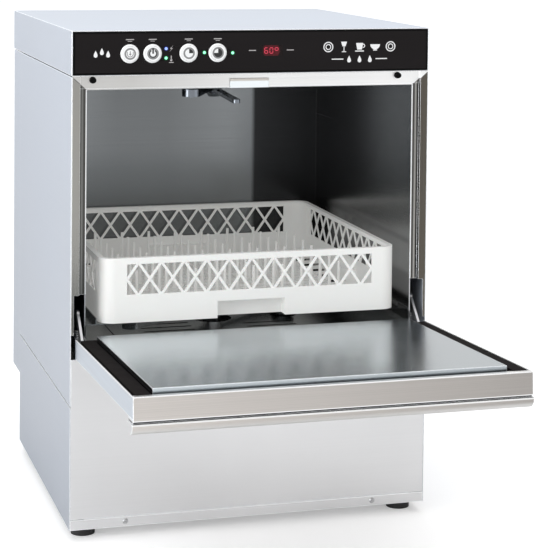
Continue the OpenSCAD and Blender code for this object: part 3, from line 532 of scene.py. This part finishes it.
FINISH = {
    casing: ["side_panel_left", "side_panel_right", "lower_panel_left", "lower_panel_right",
             "top_cover", "rear_cover", "rear_lower_panel", "front_panel", "kick_strip"],
    door_sheet: ["door_skin", "door_handle"],
    pan_sheet: ["door_inner_pan"],
    frame_sheet: ["front_frame", "base_frame"],
    chamber: ["wash_tank", "rack_guides", "sump_filter", "standpipe"],
    arm_steel: ["lower_wash_arm", "lower_rinse_arm", "lower_hub", "wash_riser"],
    shaded_arm_steel: ["upper_wash_arm", "upper_rinse_arm", "upper_hub"],
    hardware: ["panel_screws", "spring_anchors", "hinge_brackets", "hinge_pins", "hinge_arms"],
    boiler_steel: ["boiler", "tank_heater"],
    brass: ["boiler_element", "inlet_valve"],
    motor_paint: ["wash_pump_motor", "pump_rotor"],
    pump_plastic: ["wash_pump_volute"],
    drain_plastic: ["drain_pump"],
    doser_plastic: ["dosing_pumps"],
    hose_rubber: ["drain_hose", "suction_hose"],
    fascia_black: ["control_panel"],
    board_green: ["control_board"],
    display_red: ["display_window"],
    lamp_lens: ["led_lenses"],
    bezel_white: ["button_bezels"],
    button_white: BUTTONS,
    bumper_rubber: ["door_bumpers"],
    catch_white: ["door_catch"],
    rack_plastic: ["dish_rack"],
    gasket_rubber: ["door_gasket"],
    foot_rubber: ["foot_front_left", "foot_front_right", "foot_rear_left", "foot_rear_right"],
}
for material, names in FINISH.items():
    for name in names:
        for slot in NODES[name].material_slots:
            slot.material = material


# ---------------------------------------------------------------- softened edges on CAD nodes

def soften(node, width, segments=2, angle=35.0):
    """Rolled edges on a sheet or moulding: welds the facets, rounds sharp edges, smooths the shading."""
    weld = NODES[node].modifiers.new("weld", "WELD")
    weld.merge_threshold = 0.004 * MM
    bevel = NODES[node].modifiers.new("edges", "BEVEL")
    bevel.width = width
    bevel.segments = segments
    bevel.limit_method = "ANGLE"
    bevel.angle_limit = math.radians(angle)
    bevel.use_clamp_overlap = True
    shade = NODES[node].modifiers.new("shade", "WEIGHTED_NORMAL")
    shade.keep_sharp = False
    shade.weight = 90


for name in ["side_panel_left", "side_panel_right", "lower_panel_left", "lower_panel_right",
             "front_panel", "top_cover"]:
    soften(name, 0.7 * MM)
for name in ["door_inner_pan", "door_handle", "door_skin", "control_panel", "door_catch"]:
    soften(name, 0.5 * MM)
for name in BUTTONS:
    soften(name, 0.6 * MM, 3)


# ---------------------------------------------------------------- pieces

def piece(name, verts, faces, material, body, smooth=False):
    """A mesh in the frame's own coordinates that rides on a body."""
    mesh = bpy.data.meshes.new(name)
    mesh.from_pydata([tuple(v) for v in verts], [], faces)
    mesh.materials.append(material)
    mesh.polygons.foreach_set("use_smooth", [smooth] * len(mesh.polygons))
    mesh.update()
    obj = bpy.data.objects.new(name, mesh)
    bpy.context.scene.collection.objects.link(obj)
    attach(obj, body)
    return obj


class Marks:
    """Flat marks in a plane parallel to the front, as thin closed prisms."""

    def __init__(self, front):
        self.y = (front, front + INK + 0.02 * MM)
        self.verts = []
        self.faces = []

    def shape(self, points):
        """A filled outline, counter-clockwise as the operator sees it."""
        n = len(points)
        base = len(self.verts)
        self.verts += [(x, y, z) for y in self.y for x, z in points]
        self.faces.append([base + i for i in range(n)])
        self.faces.append([base + n + i for i in reversed(range(n))])
        for i in range(n):
            j = (i + 1) % n
            self.faces.append([base + j, base + i, base + i + n, base + j + n])

    def bar(self, x, z, w, h):
        self.shape([(x - w / 2, z - h / 2), (x + w / 2, z - h / 2),
                    (x + w / 2, z + h / 2), (x - w / 2, z + h / 2)])

    def disc(self, x, z, r, start=0.0, end=360.0):
        """A disc, or a slice of one between two angles."""
        whole = end - start >= 360.0
        steps = max(4, round((end - start) / 10))
        count = steps if whole else steps + 1
        turn = [math.radians(start + (end - start) * i / steps) for i in range(count)]
        rim = [(x + r * math.cos(a), z + r * math.sin(a)) for a in turn]
        self.shape(rim if whole else [(x, z)] + rim)

    def ring(self, x, z, r_in, r_out, start=0.0, end=360.0):
        """A ring, or an arc of one, as a run of short blocks."""
        steps = max(6, round((end - start) / 10))
        for i in range(steps):
            a = math.radians(start + (end - start) * i / steps)
            b = math.radians(start + (end - start) * (i + 1) / steps)
            self.shape([(x + r_in * math.cos(a), z + r_in * math.sin(a)),
                        (x + r_out * math.cos(a), z + r_out * math.sin(a)),
                        (x + r_out * math.cos(b), z + r_out * math.sin(b)),
                        (x + r_in * math.cos(b), z + r_in * math.sin(b))])

    def drop(self, x, z, r):
        """A water drop with its point up."""
        rim = [(x + r * math.sin(a) * math.sin(a / 2) ** 1.5, z + 1.25 * r * math.cos(a))
               for a in [2 * math.pi * i / 24 for i in range(24)]]
        self.shape(rim[::-1])

    def make(self, name, material, body):
        return piece(name, self.verts, self.faces, material, body)


grey_ink = ink("ink_grey", colour(0.22, 0.22, 0.22))
black_ink = ink("ink_black", colour(0.012, 0.012, 0.012))
white_ink = ink("ink_white", colour(0.78, 0.78, 0.78))
pale_ink = ink("ink_pale", colour(0.42, 0.40, 0.40))
lit_red = ink("digit_red", colour(0.50, 0.03, 0.06), 0.42)

# Button symbols: a grey ring on every cap, then each button's own sign
for name, x in zip(BUTTONS, BUTTON_X):
    rings = Marks(CAP_Y - INK)
    rings.ring(x, BUTTON_Z, 6.6 * MM, 9.4 * MM)
    rings.make(name + "_ring", grey_ink, name)

signs = Marks(CAP_Y - INK)
x = BUTTON_X[0]
signs.ring(x, BUTTON_Z, 4.2 * MM, 5.4 * MM, 180, 360)
for dx in (-4.8, 4.8):
    signs.bar(x + dx * MM, BUTTON_Z + 1.6 * MM, 1.2 * MM, 3.2 * MM)
signs.bar(x, BUTTON_Z + 2.2 * MM, 1.3 * MM, 4.4 * MM)
signs.shape([(x - 2.4 * MM, BUTTON_Z), (x, BUTTON_Z - 3.0 * MM), (x + 2.4 * MM, BUTTON_Z)])
signs.make("button_drain_sign", grey_ink, BUTTONS[0])

signs = Marks(CAP_Y - 2 * INK)
signs.ring(BUTTON_X[1], BUTTON_Z, 4.8 * MM, 6.6 * MM, 120, 420)
signs.bar(BUTTON_X[1], BUTTON_Z + 4.4 * MM, 2.6 * MM, 9.0 * MM)
signs.make("button_power_sign", black_ink, BUTTONS[1])

signs = Marks(CAP_Y - 2 * INK)
signs.disc(BUTTON_X[2], BUTTON_Z, 6.6 * MM, 0, 90)
signs.make("button_short_cycle_sign", black_ink, BUTTONS[2])

signs = Marks(CAP_Y - 2 * INK)
signs.disc(BUTTON_X[3], BUTTON_Z, 7.0 * MM, -180, 90)
signs.make("button_long_cycle_sign", black_ink, BUTTONS[3])

# Fascia print: plain bars where the control names go, and small signs by the lamps
pale = Marks(FACE_Y - INK)
for x in BUTTON_X:
    pale.bar(x, BUTTON_Z + 22.5 * MM, 13 * MM, 1.5 * MM)
    pale.bar(x, BUTTON_Z + 19.8 * MM, 7 * MM, 0.8 * MM)
for x in (-5 * MM, 59 * MM):
    pale.bar(x, BUTTON_Z + 3.0 * MM, 12 * MM, 1.4 * MM)
pale.make("fascia_labels", pale_ink, "cabinet")

white = Marks(FACE_Y - INK)
x, z = -139.5 * MM, BLUE_LAMP[1]
white.shape([(x - 3 * MM, z - 5 * MM), (x + 2.4 * MM, z + 0.6 * MM), (x - 0.2 * MM, z + 0.9 * MM),
             (x + 3.4 * MM, z + 5.2 * MM), (x - 2.2 * MM, z + 0.2 * MM), (x + 0.4 * MM, z - 0.3 * MM)])
z = GREEN_LAMPS[0][1]
white.bar(x, z + 0.5 * MM, 1.5 * MM, 6.5 * MM)
white.disc(x, z - 3.5 * MM, 1.8 * MM)
white.bar(x, z - 7.2 * MM, 7.5 * MM, 1.1 * MM)
white.make("lamp_signs", pale_ink, "cabinet")


def glass_sign(marks, x, z, h):
    """A stemmed glass."""
    marks.shape([(x - 0.16 * h, z + 0.05 * h), (x + 0.16 * h, z + 0.05 * h), (x + 0.3 * h, z + 0.5 * h),
                 (x - 0.3 * h, z + 0.5 * h)])
    marks.bar(x, z - 0.2 * h, 0.08 * h, 0.52 * h)
    marks.bar(x, z - 0.47 * h, 0.44 * h, 0.08 * h)


def plate_sign(marks, x, z, h):
    """A plate seen from above."""
    marks.ring(x, z, 0.4 * h, 0.5 * h)
    marks.ring(x, z, 0.2 * h, 0.28 * h)


def cup_sign(marks, x, z, h):
    """A cup on its saucer."""
    marks.shape([(x - 0.24 * h, z - 0.28 * h), (x + 0.24 * h, z - 0.28 * h),
                 (x + 0.36 * h, z + 0.36 * h), (x - 0.36 * h, z + 0.36 * h)])
    marks.ring(x + 0.36 * h, z + 0.08 * h, 0.12 * h, 0.2 * h, -100, 100)
    marks.bar(x, z - 0.42 * h, 0.9 * h, 0.1 * h)


def bowl_sign(marks, x, z, h):
    """A bowl on its foot."""
    marks.disc(x, z + 0.22 * h, 0.5 * h, 180, 360)
    marks.bar(x, z - 0.34 * h, 0.4 * h, 0.1 * h)


signs = Marks(FACE_Y - INK)
row_z = BUTTON_Z + 7 * MM
for k, draw in enumerate([plate_sign, glass_sign, cup_sign, bowl_sign, plate_sign]):
    draw(signs, (124 + 27 * k) * MM, row_z, 17 * MM)
for k in range(3):
    signs.drop((160 + 18 * k) * MM, BUTTON_Z - 13 * MM, 4.6 * MM)
for x in (140, 216):
    signs.bar(x * MM, BUTTON_Z - 13 * MM, 20 * MM, 1.6 * MM)
for k in range(3):
    signs.drop((-262 + 10 * k) * MM, BUTTON_Z + (4 if k == 1 else 0) * MM, 4.4 * MM)
signs.make("fascia_signs", white_ink, "cabinet")


# Seven-segment digits behind the display window
def digit(marks, x, z, h, segments):
    w, t = 0.56 * h, 0.13 * h
    bars = {"a": (0, h / 2, 1), "g": (0, 0, 1), "d": (0, -h / 2, 1), "f": (-w / 2, h / 4, 0),
            "b": (w / 2, h / 4, 0), "e": (-w / 2, -h / 4, 0), "c": (w / 2, -h / 4, 0)}
    for key in segments:
        dx, dz, flat = bars[key]
        marks.bar(x + dx, z + dz, w * 0.8 if flat else t, t if flat else h / 2 * 0.8)


window = Marks(side("display_window", 1, False) - INK)
for k, segments in enumerate(["acdefg", "abcdef", "abfg"]):
    digit(window, DISPLAY[0] + (k - 1) * 8.8 * MM, DISPLAY[2], 9.0 * MM, segments)
window.make("display_digits", lit_red, "cabinet")


# ---------------------------------------------------------------- door springs

def coil(name, x):
    """One wound extension spring with its hooks."""
    lo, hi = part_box("door_springs")
    y = (lo.y + hi.y) / 2
    wire, r, ring = 1.15 * MM, 5.2 * MM, 6
    low, high = lo.z + 8 * MM, hi.z - 30 * MM
    turns, steps = 74, 14
    path = [Vector((x, y, lo.z + wire)), Vector((x, y, lo.z + 5 * MM))]
    for i in range(turns * steps + 1):
        a = 2 * math.pi * i / steps
        rise = (high - low) * i / (turns * steps)
        path.append(Vector((x + r * math.cos(a), y + r * math.sin(a), low + rise)))
    path += [Vector((x, y, high + 4 * MM)), Vector((x, y, hi.z - 7 * MM)),
             Vector((x + 2.4 * MM, y, hi.z - 4.5 * MM)), Vector((x, y, hi.z - 1.5 * MM))]
    verts, faces = [], []
    for i, p in enumerate(path):
        ahead = (path[min(i + 1, len(path) - 1)] - path[max(i - 1, 0)]).normalized()
        out = ahead.orthogonal() if i < 2 else (out - ahead * out.dot(ahead))
        out = out.normalized()
        across = ahead.cross(out)
        for k in range(ring):
            a = 2 * math.pi * k / ring
            verts.append(p + wire * (out * math.cos(a) + across * math.sin(a)))
    for i in range(len(path) - 1):
        for k in range(ring):
            a, b = i * ring + k, i * ring + (k + 1) % ring
            faces.append([a, b, b + ring, a + ring])
    faces.append(list(range(ring))[::-1])
    faces.append([len(verts) - ring + k for k in range(ring)])
    spring = piece(name, verts, faces, hardware, "cabinet", True)
    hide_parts("door_springs")
    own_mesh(spring)


spring_x = side("door_springs", 0) - 6.5 * MM
coil("door_spring_left", -spring_x)
coil("door_spring_right", spring_x)


# ---------------------------------------------------------------- studio

def floor():
    half = 40.0
    mesh = bpy.data.meshes.new("studio_floor")
    corners = [(-half, -half, 0), (half, -half, 0), (half, half, 0), (-half, half, 0)]
    mesh.from_pydata(corners, [], [[0, 1, 2, 3]])
    s = Shader("studio_floor")
    at, _ = s.place()
    tone = s.mix(s.noise(at, 3.0, 3.0), colour(0.94, 0.94, 0.94), colour(0.96, 0.96, 0.96))
    s.set(base_color=tone, roughness=0.8)
    s.bsdf.inputs["Specular IOR Level"].default_value = 0.1
    s.put(s.bsdf.inputs["Emission Color"], tone)
    path = s.add("LightPath")
    s.put(s.bsdf.inputs["Emission Strength"], s.math("MULTIPLY", path.outputs["Is Camera Ray"], 0.30))
    mesh.materials.append(s.material)
    obj = bpy.data.objects.new("studio_floor", mesh)
    obj.location.z = FLOOR_Z
    bpy.context.scene.collection.objects.link(obj)


def softbox(name, at, target, size, power):
    lamp = bpy.data.lights.new(name, "AREA")
    lamp.shape = "RECTANGLE"
    lamp.size, lamp.size_y = size
    lamp.energy = power
    obj = bpy.data.objects.new(name, lamp)
    obj.location = at
    obj.rotation_euler = (Vector(target) - Vector(at)).to_track_quat("-Z", "Y").to_euler()
    bpy.context.scene.collection.objects.link(obj)


EDGE_LIGHT = (-0.96, -0.27, 0.0)     # where the folded left edges of the casing find their highlight


def surroundings():
    """White room: bluish to the left, neutral to the front, a little darker to the right."""
    world = bpy.data.worlds.new("studio")
    world.use_nodes = True
    bpy.context.scene.world = world
    tree = world.node_tree
    back = tree.nodes["Background"]
    out = tree.nodes["World Output"]
    at = tree.nodes.new("ShaderNodeTexCoord")
    split = tree.nodes.new("ShaderNodeSeparateXYZ")
    tree.links.new(at.outputs["Generated"], split.inputs[0])
    ramp = tree.nodes.new("ShaderNodeMapRange")
    ramp.inputs["From Min"].default_value = -0.9
    ramp.inputs["From Max"].default_value = 0.9
    tree.links.new(split.outputs["X"], ramp.inputs["Value"])
    band = tree.nodes.new("ShaderNodeValToRGB")
    stops = [(0.0, (0.86, 0.90, 0.96, 1)), (0.35, (0.93, 0.94, 0.95, 1)), (0.7, (0.90, 0.89, 0.88, 1)),
             (1.0, (0.62, 0.63, 0.65, 1))]
    while len(band.color_ramp.elements) < len(stops):
        band.color_ramp.elements.new(0.5)
    for element, (place, tone) in zip(band.color_ramp.elements, stops):
        element.position = place
        element.color = tone
    tree.links.new(ramp.outputs[0], band.inputs[0])
    tree.links.new(band.outputs[0], back.inputs["Color"])
    toward = tree.nodes.new("ShaderNodeVectorMath")
    toward.operation = "DOT_PRODUCT"
    toward.inputs[1].default_value = EDGE_LIGHT
    tree.links.new(at.outputs["Generated"], toward.inputs[0])
    patch = tree.nodes.new("ShaderNodeMapRange")
    for socket, value in zip(["From Min", "From Max", "To Min", "To Max"], [0.955, 0.985, 0.95, 2.6]):
        patch.inputs[socket].default_value = value
    tree.links.new(toward.outputs["Value"], patch.inputs[0])
    tree.links.new(patch.outputs[0], back.inputs["Strength"])
    seen = tree.nodes.new("ShaderNodeBackground")
    seen.inputs["Color"].default_value = (1, 1, 1, 1)
    path = tree.nodes.new("ShaderNodeLightPath")
    mix = tree.nodes.new("ShaderNodeMixShader")
    tree.links.new(path.outputs["Is Camera Ray"], mix.inputs[0])
    tree.links.new(back.outputs[0], mix.inputs[1])
    tree.links.new(seen.outputs[0], mix.inputs[2])
    tree.links.new(mix.outputs[0], out.inputs["Surface"])


CAMERA_AT = (-0.8125, -3.0909, 0.9971)
CAMERA_TURN = (0.27517, 0.03679, 0.009026)      # yaw, pitch down and roll, in radians
LENS = 118.52
LENS_SHIFT = (0.0569, -0.535)


def main_camera():
    """Long lens held nearly level, so uprights stay upright; the frame is shifted down instead."""
    yaw, pitch, roll = CAMERA_TURN
    cam = bpy.data.cameras.new("camera")
    cam.sensor_width = 36.0
    cam.lens = LENS
    cam.clip_end = 200.0
    obj = bpy.data.objects.new("camera", cam)
    bpy.context.scene.collection.objects.link(obj)
    ahead = Vector((math.sin(yaw) * math.cos(pitch), math.cos(yaw) * math.cos(pitch), -math.sin(pitch)))
    right = Vector((math.cos(yaw), -math.sin(yaw), 0.0))
    up = right.cross(ahead)
    right, up = (right * math.cos(roll) + up * math.sin(roll),
                 up * math.cos(roll) - right * math.sin(roll))
    obj.rotation_mode = "QUATERNION"
    obj.rotation_quaternion = Matrix((right, up, -ahead)).transposed().to_quaternion()
    obj.location = CAMERA_AT
    home = bpy.data.objects.new("camera_home", None)
    home.location = obj.location
    bpy.context.scene.collection.objects.link(home)
    hold_shift(cam, "shift_x", LENS_SHIFT[0], obj, home)
    hold_shift(cam, "shift_y", LENS_SHIFT[1], obj, home)
    bpy.context.scene.camera = obj


def hold_shift(cam, channel, value, obj, home):
    """The lens shift belongs to the camera's own place; from anywhere else it is zero."""
    curve = cam.driver_add(channel)
    curve.driver.type = "SUM"
    gap = curve.driver.variables.new()
    gap.type = "LOC_DIFF"
    gap.targets[0].id = obj
    gap.targets[1].id = home
    for modifier in list(curve.modifiers):
        curve.modifiers.remove(modifier)
    for distance, level in [(0.0, value), (0.02, value), (0.05, 0.0), (1.0, 0.0)]:
        point = curve.keyframe_points.insert(distance, level)
        point.interpolation = "LINEAR"
    curve.extrapolation = "CONSTANT"


floor()
surroundings()
MIDDLE = (0, 0, 0.4)
softbox("key", (-2.2, -3.2, 3.2), MIDDLE, (2.4, 2.4), 36)
softbox("top", (0.3, -0.4, 3.4), MIDDLE, (3.0, 3.0), 20)
softbox("fill", (2.8, -2.6, 1.4), MIDDLE, (1.8, 2.4), 10)
softbox("left", (-2.8, -1.4, 0.9), (0, -0.3, 0.4), (1.2, 1.6), 30)
main_camera()
bpy.context.scene.view_settings.view_transform = "Standard"
